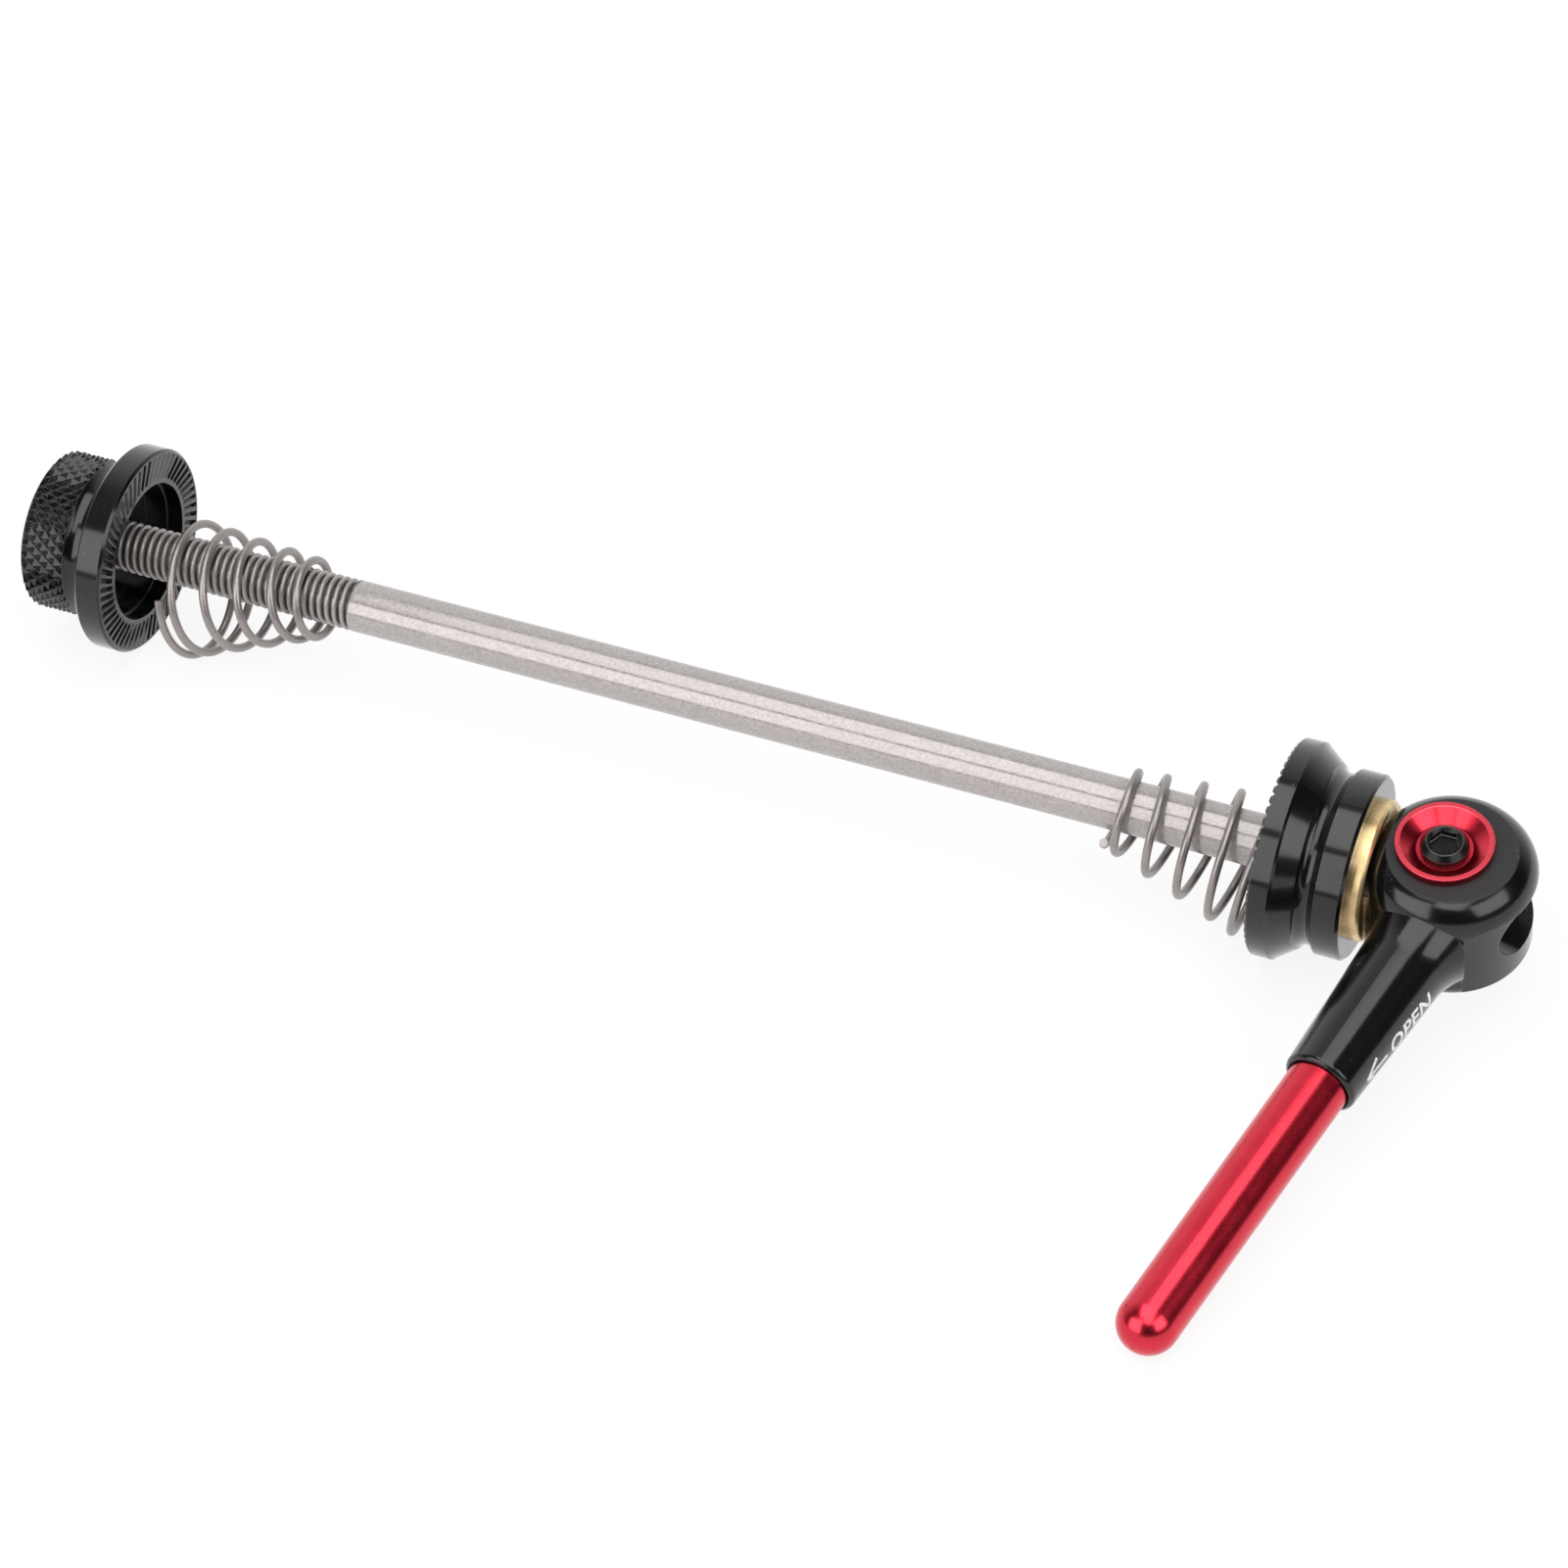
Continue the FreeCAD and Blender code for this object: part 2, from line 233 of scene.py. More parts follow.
class NodeSheet:
    """A node tree, with the one method that adds nodes to it and the blends that are used most."""

    def __init__(self, tree):
        self.tree = tree

    def node(self, kind, settings=None, inputs=None):
        made = self.tree.nodes.new(kind)
        for key, value in (settings or {}).items():
            setattr(made, key, value)
        for key, value in (inputs or {}).items():
            if isinstance(value, Wire):
                self.tree.links.new(value.socket, made.inputs[key])
            else:
                made.inputs[key].default_value = value
        return Wire(self, made, 0)

    def mix(self, factor, first, second):
        """Blend of two colours."""
        return self.node("ShaderNodeMix", {"data_type": "RGBA"}, {0: factor, 6: first, 7: second})[2]

    def fade(self, value, low, high):
        """0 at low, 1 at high, smooth between."""
        return self.node(
            "ShaderNodeMapRange", {"interpolation_type": "SMOOTHSTEP"},
            {"Value": value, "From Min": low, "From Max": high},
        )

    def axes(self, place):
        """The X, Y and Z of a place."""
        return self.node("ShaderNodeSeparateXYZ", inputs={0: place})

    def end_at(self, node, socket, wire):
        """Lead a wire into a socket of a node that the tree starts with."""
        self.tree.links.new(wire.socket, self.tree.nodes[node].inputs[socket])


class Finish(NodeSheet):
    """A material and the handful of patterns that the finishes share."""

    BUMP_DEPTH = 0.02 * MM

    def __init__(self, name, **constants):
        self.material = bpy.data.materials.new(name)
        self.material.use_nodes = True
        super().__init__(self.material.node_tree)
        self.shader = self.tree.nodes["Principled BSDF"]
        for socket, value in constants.items():
            self.shader.inputs[socket.replace("_", " ")].default_value = value
        self.place = self.node("ShaderNodeTexCoord")["Object"]

    def feed(self, socket, wire):
        self.end_at("Principled BSDF", socket, wire)

    def noise(self, size, detail=2.0, roughness=0.5, place=None):
        """Cloudy pattern whose features are about size across."""
        inputs = {"Vector": place or self.place, "Scale": 1 / size, "Detail": detail, "Roughness": roughness}
        return self.node("ShaderNodeTexNoise", inputs=inputs)

    def bump(self, height, strength, under=None):
        """Normals of a fine relief, laid over other normals if any are given."""
        inputs = {"Height": height, "Strength": strength, "Distance": self.BUMP_DEPTH}
        if under:
            inputs["Normal"] = under
        return self.node("ShaderNodeBump", inputs=inputs)

    def soft_edges(self, radius):
        """Normals of edges rounded by a small radius."""
        return self.node("ShaderNodeBevel", {"samples": 6}, {"Radius": radius})

    def sharp_edges(self, soft):
        """1 on sharp edges, 0 on open faces, from how far the softened normal turns."""
        face = self.node("ShaderNodeNewGeometry")["Normal"]
        turn = self.node("ShaderNodeVectorMath", {"operation": "DOT_PRODUCT"}, {0: soft, 1: face})["Value"]
        return self.fade(1 - turn, low=0.01, high=0.2)

    def rod_radius(self):
        """Distance from the rod's axis."""
        axes = self.axes(self.place)
        return (axes["Y"] * axes["Y"] + axes["Z"] * axes["Z"]) ** 0.5

    def pivot_place(self):
        """Place measured from the lever's pivot, with Z along the pivot."""
        return self.node(
            "ShaderNodeMapping", {"vector_type": "TEXTURE"},
            {"Vector": self.place, "Location": pivot, "Rotation": (roll, 0, 0)},
        )

    def pivot_height(self):
        """Distance along the pivot from the lever's middle, up or down."""
        height = self.axes(self.pivot_place())["Z"]
        return (height * height) ** 0.5

    def lathe_lines(self, along, radius, width):
        """Fine lines that run round an axis, from the places along it and away from it."""
        lines = self.node("ShaderNodeCombineXYZ", inputs={"X": along, "Y": radius})
        return self.noise(width, place=lines)

    def rod_lathe_lines(self, width):
        """Fine lines left by turning about the rod."""
        return self.lathe_lines(self.axes(self.place)["X"], self.rod_radius(), width)

    def pivot_lathe_lines(self, width):
        """Fine lines left by turning about the lever's pivot."""
        axes = self.axes(self.pivot_place())
        radius = (axes["X"] * axes["X"] + axes["Y"] * axes["Y"]) ** 0.5
        return self.lathe_lines(axes["Z"], radius, width)


# Finishes

def grey(level):
    return (level, level, level, 1)


ANODISED_BLACK = grey(0.003)
RING_BLACK = grey(0.04)
# Paler grey for dust, and for sharp edges as wear and painted highlight
PALE_DUST_WEAR_AND_HIGHLIGHT_BLACK = grey(0.2)
DEEP_RED = (0.62, 0.022, 0.045, 1)
BRIGHT_RED = (0.76, 0.034, 0.065, 1)
# Painted highlight colour for the caps' flat rims
RIM_HIGHLIGHT_RED = (0.95, 0.085, 0.12, 1)
# Paler red laid on sharp edges
PALE_EDGE_RED = (0.85, 0.12, 0.15, 1)
# Dark colour painted into the thread's roots as shade
SHADED_THREAD_ROOT_STEEL = (0.06, 0.053, 0.05, 1)
THREAD_CREST_STEEL = (0.34, 0.315, 0.306, 1)
DARK_SHANK_STEEL = (0.3, 0.276, 0.272, 1)
PALE_SHANK_STEEL = (0.5, 0.462, 0.455, 1)
DARK_WIRE_STEEL = (0.23, 0.208, 0.2, 1)
PALE_WIRE_STEEL = (0.4, 0.368, 0.355, 1)
CLEAN_BRASS = (0.84, 0.63, 0.33, 1)
TARNISHED_BRASS = (0.6, 0.42, 0.2, 1)
# Paler brass laid on sharp edges
PALE_EDGE_BRASS = (0.88, 0.73, 0.47, 1)
DARK_OXIDE = grey(0.005)
PALE_OXIDE = grey(0.014)
# Paler grey laid on the screws' sharp edges
PALE_EDGE_OXIDE = grey(0.5)
THIN_INK = grey(0.45)
FULL_INK = grey(0.8)


def coat(piece, finish):
    piece.data.materials.clear()
    piece.data.materials.append(finish.material)


def dress(names, finish):
    for name in names:
        coat(nodes[name], finish)


def black_anodised(name, edge, gloss, ringed):
    """Black metal under a clear gloss: blasted grain, a little dust, and edges painted paler, partly as wear
    and partly as a painted highlight.

    A ringed piece has a dull, paler ring about each cap.
    """
    finish = Finish(name, IOR=1.2, Coat_Roughness=gloss, Coat_IOR=1.5)
    soft = finish.soft_edges(edge)
    cloud = finish.noise(1.6 * MM, detail=3.0)
    grain = finish.noise(0.12 * MM, detail=1.0)
    dust = finish.fade(finish.noise(0.35 * MM, detail=1.0), low=0.76, high=0.8)
    body = ANODISED_BLACK
    shine = 0.8 + 0.2 * grain
    if ringed:
        ring = finish.fade(
            finish.pivot_height(), low=HEAD_HALF_HEIGHT - 0.12 * MM, high=HEAD_HALF_HEIGHT - 0.04 * MM
        )
        body = finish.mix(ring, ANODISED_BLACK, RING_BLACK)
        shine = (1 - ring) * shine
    # Painted highlight and wear: sharp edges are coloured paler, broken up by the grain
    worn_and_highlit = finish.mix(finish.sharp_edges(soft) * (0.2 + 0.6 * grain), body, PALE_DUST_WEAR_AND_HIGHLIGHT_BLACK)
    finish.feed("Base Color", finish.mix(0.5 * dust, worn_and_highlit, PALE_DUST_WEAR_AND_HIGHLIGHT_BLACK))
    finish.feed("Roughness", 0.18 + 0.14 * cloud + 0.08 * grain)
    finish.feed("Coat Weight", shine)
    return finish, soft, grain


def turned_black():
    """Black of the nut and the washer, with the lathe's fine lines."""
    finish, soft, grain = black_anodised("turned_black", edge=0.1 * MM, gloss=0.13, ringed=False)
    surface = finish.bump(grain, 0.08, soft)
    finish.feed("Normal", finish.bump(finish.rod_lathe_lines(0.07 * MM), 0.08, surface))
    return finish


def lever_black():
    """Black of the lever, with a stronger grain."""
    finish, soft, grain = black_anodised("lever_black", edge=0.16 * MM, gloss=0.15, ringed=True)
    finish.feed("Normal", finish.bump(grain, 0.24, soft))
    return finish


def red_anodised(name, turned):
    """Bright red over metal, faintly clouded; a turned piece has lathe lines and a painted highlight on its
    flat rim.
    """
    finish = Finish(name, Metallic=1.0, Coat_Weight=0.3, Coat_Roughness=0.1)
    soft = finish.soft_edges(0.1 * MM)
    cloud = finish.noise(2.5 * MM, detail=3.0)
    grain = finish.noise(0.1 * MM, detail=1.0)
    body = finish.mix(cloud, DEEP_RED, BRIGHT_RED)
    surface = finish.bump(grain, 0.08, soft)
    if turned:
        surface = finish.bump(finish.pivot_lathe_lines(0.06 * MM), 0.16, surface)
        # Painted highlight: the caps' flat rims are coloured a paler red
        rim = finish.fade(finish.pivot_height(), low=CAP_TOP - 0.06 * MM, high=CAP_TOP - 0.02 * MM)
        body = finish.mix(rim, body, RIM_HIGHLIGHT_RED)
    # Sharp edges are coloured a paler red
    finish.feed("Base Color", finish.mix(0.5 * finish.sharp_edges(soft), body, PALE_EDGE_RED))
    finish.feed("Roughness", 0.2 + 0.08 * cloud + 0.06 * grain)
    finish.feed("Normal", surface)
    return finish


def rod_steel():
    """Ground steel with a fine sparkle; the thread's roots are painted dark as shade."""
    finish = Finish("rod_steel", Metallic=0.35)
    cloud = finish.noise(3.0 * MM, detail=4.0)
    grain = finish.fade(finish.noise(0.28 * MM, detail=3.0, roughness=0.7), low=0.3, high=0.7)
    along = finish.axes(finish.place)["X"]
    threaded = finish.fade(along, low=THREAD_END + 0.1 * MM, high=THREAD_END - 0.1 * MM)
    # Painted shade in the thread's roots, darker towards the axis
    crest = finish.fade(finish.rod_radius(), low=ROOT_SHADE_RADIUS, high=PALE_CREST_RADIUS)
    thread = finish.mix(crest, SHADED_THREAD_ROOT_STEEL, THREAD_CREST_STEEL)
    shank = finish.mix(0.3 * cloud + 0.7 * grain, DARK_SHANK_STEEL, PALE_SHANK_STEEL)
    finish.feed("Base Color", finish.mix(threaded, shank, thread))
    finish.feed("Roughness", 0.11 + 0.11 * grain)
    finish.feed("Normal", finish.bump(grain, 0.03))
    return finish


def spring_steel():
    """Drawn wire, dull and slightly brown."""
    finish = Finish("spring_steel", Metallic=0.7)
    cloud = finish.noise(1.5 * MM, detail=4.0)
    grain = finish.noise(0.12 * MM)
    finish.feed("Base Color", finish.mix(0.6 * cloud + 0.4 * grain, DARK_WIRE_STEEL, PALE_WIRE_STEEL))
    finish.feed("Roughness", 0.22 + 0.12 * cloud + 0.08 * grain)
    finish.feed("Normal", finish.bump(grain, 0.08))
    return finish


def brass():
    """Turned brass with soft tarnish and paler edges."""
    finish = Finish("brass", Metallic=0.8)
    soft = finish.soft_edges(0.2 * MM)
    tarnish = finish.fade(finish.noise(1.8 * MM, detail=4.0, roughness=0.55), low=0.35, high=0.75)
    lines = finish.rod_lathe_lines(0.08 * MM)
    body = finish.mix(tarnish, CLEAN_BRASS, TARNISHED_BRASS)
    finish.feed("Base Color", finish.mix(0.6 * finish.sharp_edges(soft), body, PALE_EDGE_BRASS))
    finish.feed("Roughness", 0.2 + 0.1 * tarnish + 0.12 * lines)
    finish.feed("Normal", finish.bump(lines, 0.12, soft))
    return finish


def black_steel():
    """Oiled black oxide on the cap screws, coloured paler on the edges."""
    finish = Finish("black_steel", Metallic=0.6)
    soft = finish.soft_edges(0.12 * MM)
    cloud = finish.noise(0.8 * MM, detail=3.0)
    body = finish.mix(cloud, DARK_OXIDE, PALE_OXIDE)
    finish.feed("Base Color", finish.mix(0.8 * finish.sharp_edges(soft), body, PALE_EDGE_OXIDE))
    finish.feed("Roughness", 0.2 + 0.2 * cloud)
    finish.feed("Normal", finish.bump(finish.pivot_lathe_lines(0.08 * MM), 0.1, soft))
    return finish


def white_print():
    """Pad-printed ink, greyer where it is thin."""
    finish = Finish("white_print", Roughness=0.5)
    cover = finish.fade(finish.noise(0.2 * MM, detail=3.0), low=0.3, high=0.5)
    finish.feed("Base Color", finish.mix(cover, THIN_INK, FULL_INK))
    return finish


# Rod with its rolled thread

THREAD_PITCH = 0.8 * MM
THREAD_END = 22.5 * MM
THREAD_DEPTH = 0.46 * MM
THREAD_STEPS = 40
# Painted shade in the thread's roots: full below the first radius, gone above the second
ROOT_SHADE_RADIUS = 2.06 * MM
PALE_CREST_RADIUS = 2.42 * MM
SHANK_SIDES = 96
SHANK_ROUND = 0.25 * MM
SHANK_ROUND_STEPS = 3
SHANK_LOOP = 1.4 * SHANK_ROUND
ROD_SMOOTH_ANGLE = 40

# One tooth from root to root: share of the pitch along the rod, share of the thread's depth
TOOTH_OUTLINE = [
    (0.11, 0.03), (0.27, 0.74), (0.34, 0.94), (0.42, 1.0),
    (0.58, 1.0), (0.66, 0.94), (0.73, 0.74), (0.89, 0.03), (1.0, 0.0),
]


def rod_thread(tip, radius):
    """One tooth's outline drawn point by point, then screwed along the rod and cut to length."""
    deselect()
    bpy.ops.mesh.primitive_plane_add(size=MM)
    thread = bpy.context.object
    bpy.ops.object.mode_set(mode="EDIT")
    bpy.ops.mesh.select_mode(type="VERT")
    bpy.ops.mesh.select_all(action="SELECT")
    bpy.ops.mesh.merge(type="CENTER")
    bpy.ops.transform.translate(value=(tip - THREAD_PITCH, 0, radius - THREAD_DEPTH))
    along, rise = 0.0, 0.0
    for share, height in TOOTH_OUTLINE:
        step = ((share - along) * THREAD_PITCH, 0, (height - rise) * THREAD_DEPTH)
        bpy.ops.mesh.extrude_vertices_move(TRANSFORM_OT_translate={"value": step})
        along, rise = share, height
    put_down()
    spare_turns = 2
    turns = math.ceil((THREAD_END - tip) / THREAD_PITCH) + spare_turns
    apply(
        thread, "SCREW", axis="X", screw_offset=THREAD_PITCH, iterations=turns,
        steps=THREAD_STEPS, render_steps=THREAD_STEPS, use_merge_vertices=True, merge_threshold=WELD,
    )
    close_up(thread)
    work_on(thread)
    for plane, side in ((tip, -1), (THREAD_END, 1)):
        bpy.ops.mesh.select_all(action="SELECT")
        bpy.ops.mesh.bisect(
            plane_co=(plane, 0, 0), plane_no=(side, 0, 0), use_fill=True, clear_outer=True,
            threshold=0.1 * WELD,
        )
    put_down()
    return thread


def rod_shank(start, end, radius):
    """Plain rod with a rounded edge at the thread; a loop beside the round keeps the long side even."""
    deselect()
    bpy.ops.mesh.primitive_cylinder_add(
        vertices=SHANK_SIDES, radius=radius, depth=end - start,
        location=((start + end) / 2, 0, 0), rotation=(0, math.pi / 2, 0),
    )
    shank = bpy.context.object
    settle(shank)
    work_on(shank)
    pick(shank, "edges", lambda edge: all(abs(vert.co.x - start) < NEAR for vert in edge.verts))
    bpy.ops.mesh.bevel(offset=SHANK_ROUND, segments=SHANK_ROUND_STEPS, affect="EDGES")
    bpy.ops.mesh.select_all(action="SELECT")
    bpy.ops.mesh.bisect(plane_co=(start + SHANK_LOOP, 0, 0), plane_no=(1, 0, 0))
    put_down()
    return shank


def threaded_rod(finish):
    low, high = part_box("skewer_rod")
    rod = join([rod_shank(THREAD_END, high.x, high.z), rod_thread(low.x, high.z)], "threaded_rod")
    close_up(rod)
    smooth(rod, ROD_SMOOTH_ANGLE)
    coat(rod, finish)
    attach(rod, "axle")
    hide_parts("skewer_rod")


# Adjusting nut with its knurled knob and hollow neck

KNOB_RADIUS = 7.85 * MM
KNOB_BACK_RADIUS = 7.35 * MM
KNOB_BACK_MARGIN = 0.03 * MM
KNOB_FRONT = -5.5 * MM
KNURL_COUNT = 40
KNURL_ROWS = 3
KNURL_DEPTH = 0.42 * MM
KNURL_ROOT = KNOB_RADIUS - KNURL_DEPTH
FLANGE_BACK = -2.7 * MM
NECK_RADIUS = 7.5 * MM
NECK_ROOT_RADIUS = 8.65 * MM
NECK_STEPS = 12
NECK_INSIDE_RADIUS = 7.1 * MM
NUT_SMOOTH_ANGLE = 30


def square_edge(edge):
    """Whether an edge runs straight along the rod or straight round it."""
    first, second = (vert.co for vert in edge.verts)
    return abs(first.x - second.x) < WELD or (first - second).cross(AXIS_X).length < WELD


def knurl_band(back, front):
    """A ring of quads turned into diamonds, each drawn up to a point."""
    deselect()
    bpy.ops.mesh.primitive_circle_add(
        vertices=KNURL_COUNT, radius=KNURL_ROOT, rotation=(0, math.pi / 2, 0), location=(back, 0, 0)
    )
    band = bpy.context.object
    settle(band)
    work_on(band)
    bpy.ops.mesh.select_all(action="SELECT")
    row_step = ((front - back) / KNURL_ROWS, 0, 0)
    for _ in range(KNURL_ROWS):
        bpy.ops.mesh.extrude_edges_move(TRANSFORM_OT_translate={"value": row_step})
    bpy.ops.mesh.select_all(action="SELECT")
    bpy.ops.mesh.normals_make_consistent(inside=False)
    bpy.ops.mesh.poke(offset=0.0)
    pick(band, "edges", lambda edge: square_edge(edge) and not edge.is_boundary)
    bpy.ops.mesh.dissolve_edges(use_verts=False)
    bpy.ops.mesh.select_mode(type="FACE")
    bpy.ops.mesh.select_all(action="SELECT")
    bpy.ops.mesh.poke(offset=KNURL_DEPTH)
    put_down()
    return band


def knob_or_neck(face):
    """Whether a face lies on the nut's outside, from the knob's back chamfer to the flange."""
    centre = face.calc_center_median()
    if centre.x > KNOB_FRONT + NEAR:
        return centre.x < FLANGE_BACK - HAIR and radius_of(centre) > NECK_INSIDE_RADIUS
    return radius_of(centre) > KNOB_BACK_RADIUS + KNOB_BACK_MARGIN


def draw_rim(nut, place, step, radius):
    """Carry the open rim at a place along the rod on to another radius, a step further on."""
    def on_rim(edge):
        return edge.is_boundary and all(abs(vert.co.x - place) < NEAR for vert in edge.verts)

    pick(nut, "edges", on_rim)
    rim = bmesh.from_edit_mesh(nut.data)
    scale = radius / max(radius_of(vert.co) for vert in rim.verts if vert.select)
    bpy.ops.mesh.extrude_edges_move(TRANSFORM_OT_translate={"value": (step, 0, 0)})
    bpy.ops.transform.resize(value=(1, scale, scale), center_override=(0, 0, 0))
    return place + step


def hollow_neck(nut):
    """Carry the flange's open rim round a hollow to the knob."""
    length, drop = FLANGE_BACK - KNOB_FRONT, NECK_ROOT_RADIUS - NECK_RADIUS
    hollow = (length ** 2 + drop ** 2) / (2 * length)
    sweep = math.pi - math.asin(drop / hollow)
    place = FLANGE_BACK
    for step in range(1, NECK_STEPS + 1):
        turn = sweep * step / NECK_STEPS
        along = FLANGE_BACK - hollow * (1 - math.cos(turn))
        place = draw_rim(nut, place, along - place, NECK_ROOT_RADIUS - hollow * math.sin(turn))


def knurled_nut(finish):
    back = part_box("adjusting_nut")[0].x
    nut = merged_copy("adjusting_nut", "knurled_nut")
    work_on(nut)
    pick(nut, "faces", knob_or_neck)
    bpy.ops.mesh.delete(type="FACE")
    hollow_neck(nut)
    knurl_start = draw_rim(nut, back, KNURL_ROOT - KNOB_BACK_RADIUS, KNURL_ROOT)
    for rim in (knurl_start, KNOB_FRONT):
        draw_rim(nut, rim, 0, KNURL_ROOT - KNURL_DEPTH)
    put_down()
    nut = join([nut, knurl_band(knurl_start, KNOB_FRONT)], "knurled_nut")
    smooth(nut, NUT_SMOOTH_ANGLE)
    coat(nut, finish)
    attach(nut, "nut")
    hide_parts("adjusting_nut")


# Printed mark on the lever's socket

ARM_LEAN = math.radians(11.8)
ARM_OFFSET = 0.35 * MM
CAM_ECCENTRICITY = 0.78 * MM
CAM_LEAD = math.radians(10)
SOCKET_ROOT = 10.5 * MM
SOCKET_ROOT_RADIUS = 4.0 * MM
SOCKET_MOUTH = 24.2 * MM
SOCKET_MOUTH_RADIUS = 3.45 * MM
MARK_DISTANCE = 14.6 * MM
MARK_TURN = math.radians(4.0)
LETTER_SIZE = 2.45 * MM
LETTER_WEIGHT = 0.06 * MM
LETTER_SPACING = 1.06
ARROW_START = -3.95 * MM
ARROW_TIP = -7.2 * MM
ARROW_STROKE = 0.36 * MM
BARB_LENGTH = 2.2 * MM
BARB_ANGLE = math.radians(32)
PRINT_THICKNESS = 0.02 * MM


def mark_place():
    """Where the word's middle lies: its reading direction runs up the arm to the head."""
    turn = Matrix.Rotation(roll, 3, "X")
    way = turn @ Vector((-math.sin(ARM_LEAN), -math.cos(ARM_LEAN), 0))
    side = turn @ Vector((math.cos(ARM_LEAN), -math.sin(ARM_LEAN), 0))
    out = side * math.cos(MARK_TURN) + pivot_axis * math.sin(MARK_TURN)
    rise = out.cross(-way)
    taper = (SOCKET_ROOT_RADIUS - SOCKET_MOUTH_RADIUS) / (SOCKET_MOUTH - SOCKET_ROOT)
    radius = SOCKET_ROOT_RADIUS - (MARK_DISTANCE - SOCKET_ROOT) * taper
    cam_centre = turn @ Vector((math.cos(CAM_LEAD), -math.sin(CAM_LEAD), 0)) * CAM_ECCENTRICITY
    place = Matrix((-way, rise, out)).transposed().to_4x4()
    place.translation = pivot + cam_centre + side * ARM_OFFSET + way * MARK_DISTANCE + out * radius
    return place


def open_word():
    deselect()
    bpy.ops.object.text_add()
    word = bpy.context.object
    word.data.body = "OPEN"
    word.data.size = LETTER_SIZE
    word.data.align_x = "CENTER"
    word.data.align_y = "CENTER"
    word.data.space_character = LETTER_SPACING
    word.data.offset = LETTER_WEIGHT
    bpy.ops.object.convert(target="MESH")
    return bpy.context.object


def arrow_stroke(length, angle):
    """A strip that starts at the arrow's tip."""
    deselect()
    bpy.ops.mesh.primitive_plane_add(size=1.0)
    stroke = bpy.context.object
    stroke.scale = (length, ARROW_STROKE, 1)
    settle(stroke)
    stroke.location = (ARROW_TIP + math.cos(angle) * length / 2, math.sin(angle) * length / 2, 0)
    stroke.rotation_euler = (0, 0, angle)
    settle(stroke)
    return stroke


def open_arrow():
    """Plain arrow before the word, pointing to the handle's tip."""
    shaft = arrow_stroke(ARROW_START - ARROW_TIP, 0)
    barbs = [arrow_stroke(BARB_LENGTH, angle) for angle in (BARB_ANGLE, -BARB_ANGLE)]
    return join([shaft, *barbs], "open_arrow")


def open_mark(finish):
    mark = join([open_word(), open_arrow()], "open_mark")
    work_on(mark)
    bpy.ops.mesh.select_all(action="SELECT")
    bpy.ops.mesh.quads_convert_to_tris()
    bpy.ops.mesh.subdivide(number_cuts=2)
    put_down()
    mark.matrix_world = mark_place()
    settle(mark)
    apply(
        mark, "SHRINKWRAP", target=nodes["lever_body"], wrap_method="NEAREST_SURFACEPOINT",
        wrap_mode="ABOVE_SURFACE", offset=PRINT_THICKNESS,
    )
    coat(mark, finish)
    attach(mark, "lever")


# Studio

STAGE_MIDDLE = Vector((0.06, 0, 0))
FLOOR_SIZE = 6.0
FLOOR_COLOUR = grey(0.95)
FLOOR_WHITE = 0.88
WHITE = grey(1.0)
DIM_ROOM = grey(0.02)
BACKDROP_WAY = (-0.45, 0.85, -0.15)
BACKDROP_SPREAD = 0.75
BACKDROP_TOP = 0.90
BACKDROP_TOP_FADE = 0.04
PANEL_DISTANCE = 1.2
PANEL_RADIANCE = 2.8
CAMERA_PLACE = (0.208537, -0.313694, 0.321708)
CAMERA_TURN = (46.1431, 1.8516, 22.5692)
CAMERA_SENSOR = 36.0
CAMERA_LENS = 115.934
CAMERA_NEAREST = 0.01


def studio_floor():
    """Pale floor that the camera and glossy surfaces see nearly white, and that keeps a faint shadow."""
    finish = Finish("studio_floor", Roughness=0.9, Base_Color=FLOOR_COLOUR)
    path = finish.node("ShaderNodeLightPath")
    shows_white = path["Is Camera Ray"] + path["Is Glossy Ray"] + path["Is Transmission Ray"]
    white = finish.node("ShaderNodeEmission", inputs={"Color": WHITE, "Strength": 1.0})
    matt = Wire(finish, finish.shader, 0)
    blend = finish.node("ShaderNodeMixShader", inputs={0: FLOOR_WHITE * shows_white, 1: matt, 2: white})
    finish.end_at("Material Output", "Surface", blend)
    deselect()
    bpy.ops.mesh.primitive_plane_add(size=FLOOR_SIZE, location=(STAGE_MIDDLE.x, 0, cad_low.z))
    floor = bpy.context.object
    floor.name = "studio_floor"
    settle(floor)
    coat(floor, finish)


def studio_world():
    """White backdrop behind the object and to its left, a dim room in front; all white to the camera."""
    world = bpy.data.worlds.new("studio_world")
    bpy.context.scene.world = world
    world.use_nodes = True
    room = NodeSheet(world.node_tree)
    way = room.node("ShaderNodeTexCoord")["Generated"]
    behind = room.node("ShaderNodeVectorMath", {"operation": "DOT_PRODUCT"}, {0: way, 1: BACKDROP_WAY})
    backdrop = room.fade(behind["Value"], low=0.0, high=BACKDROP_SPREAD)
    below_top = room.fade(room.axes(way)["Z"], low=BACKDROP_TOP, high=BACKDROP_TOP - BACKDROP_TOP_FADE)
    seen = room.node("ShaderNodeLightPath")["Is Camera Ray"]
    white = room.node("ShaderNodeMath", {"operation": "MAXIMUM"}, {0: backdrop * below_top, 1: seen})
    room.end_at("Background", "Color", room.mix(white, DIM_ROOM, WHITE))


def around_rod(angle):
    """Direction square to the rod, raised from the front by an angle."""
    return toward(0, angle)


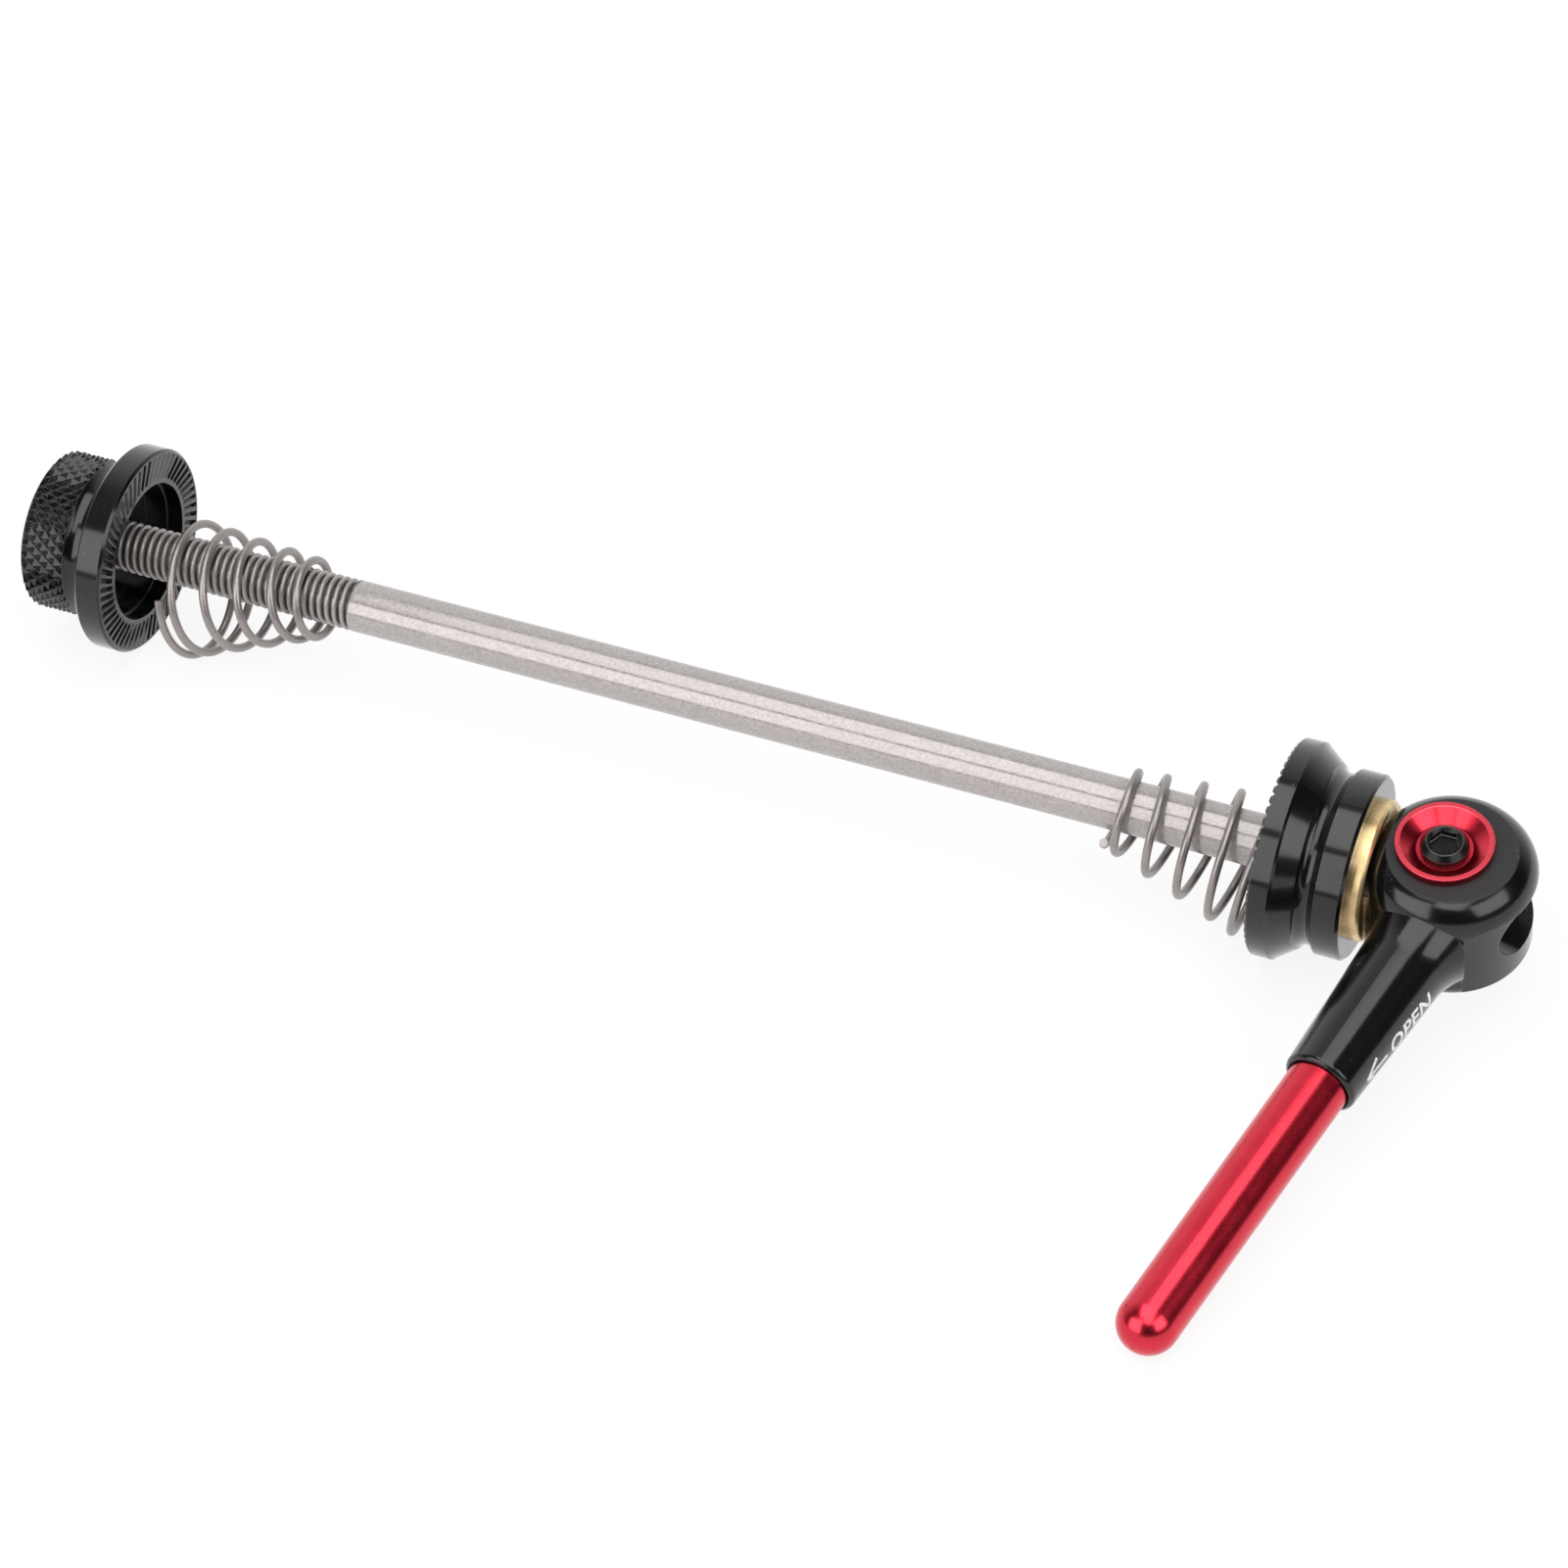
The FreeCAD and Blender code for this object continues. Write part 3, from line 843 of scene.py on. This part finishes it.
def toward(azimuth, elevation):
    """Direction from the object, turned from the front towards the lever's end, and raised."""
    across, up = math.radians(azimuth), math.radians(elevation)
    return Vector((math.sin(across) * math.cos(up), -math.cos(across) * math.cos(up), math.sin(up)))


def softbox(name, way, size, shift=0.0):
    """Rectangular panel that looks back along its way, moved along the rod by a shift."""
    lamp = bpy.data.lights.new(name, "AREA")
    lamp.shape = "RECTANGLE"
    lamp.size, lamp.size_y = size
    lamp.energy = PANEL_RADIANCE * math.pi * lamp.size * lamp.size_y
    holder = bpy.data.objects.new(name, lamp)
    bpy.context.scene.collection.objects.link(holder)
    holder.location = STAGE_MIDDLE + way * PANEL_DISTANCE + AXIS_X * shift
    holder.rotation_euler = (-way).to_track_quat("-Z", "Y").to_euler()


def photo_camera():
    camera = bpy.data.cameras.new("photo_camera")
    camera.sensor_width = CAMERA_SENSOR
    camera.lens = CAMERA_LENS
    camera.clip_start = CAMERA_NEAREST
    holder = bpy.data.objects.new("photo_camera", camera)
    bpy.context.scene.collection.objects.link(holder)
    holder.location = CAMERA_PLACE
    holder.rotation_euler = Euler([math.radians(angle) for angle in CAMERA_TURN])
    bpy.context.scene.camera = holder


washer_black = turned_black()
steel = rod_steel()
dress(["clamp_washer"], washer_black)
dress(["lever_body"], lever_black())
dress(["lever_handle"], red_anodised("handle_red", turned=False))
dress(["upper_cap", "lower_cap"], red_anodised("turned_red", turned=True))
dress(["nut_spring", "lever_spring"], spring_steel())
dress(["cam_seat"], brass())
dress(["upper_cap_screw", "lower_cap_screw"], black_steel())
dress(["pivot_barrel"], steel)
threaded_rod(steel)
knurled_nut(washer_black)
open_mark(white_print())

studio_floor()
studio_world()
softbox("left_panel", around_rod(28.75), size=(1.42, 1.031), shift=-0.85)
softbox("overhead_panel", around_rod(85), size=(1.12, 1.119), shift=0.03)
softbox("front_panel", around_rod(52.5), size=(0.6, 0.316), shift=0.24)
softbox("right_panel", toward(69, 32), size=(0.85, 0.75))
photo_camera()
bpy.context.scene.view_settings.view_transform = "Standard"
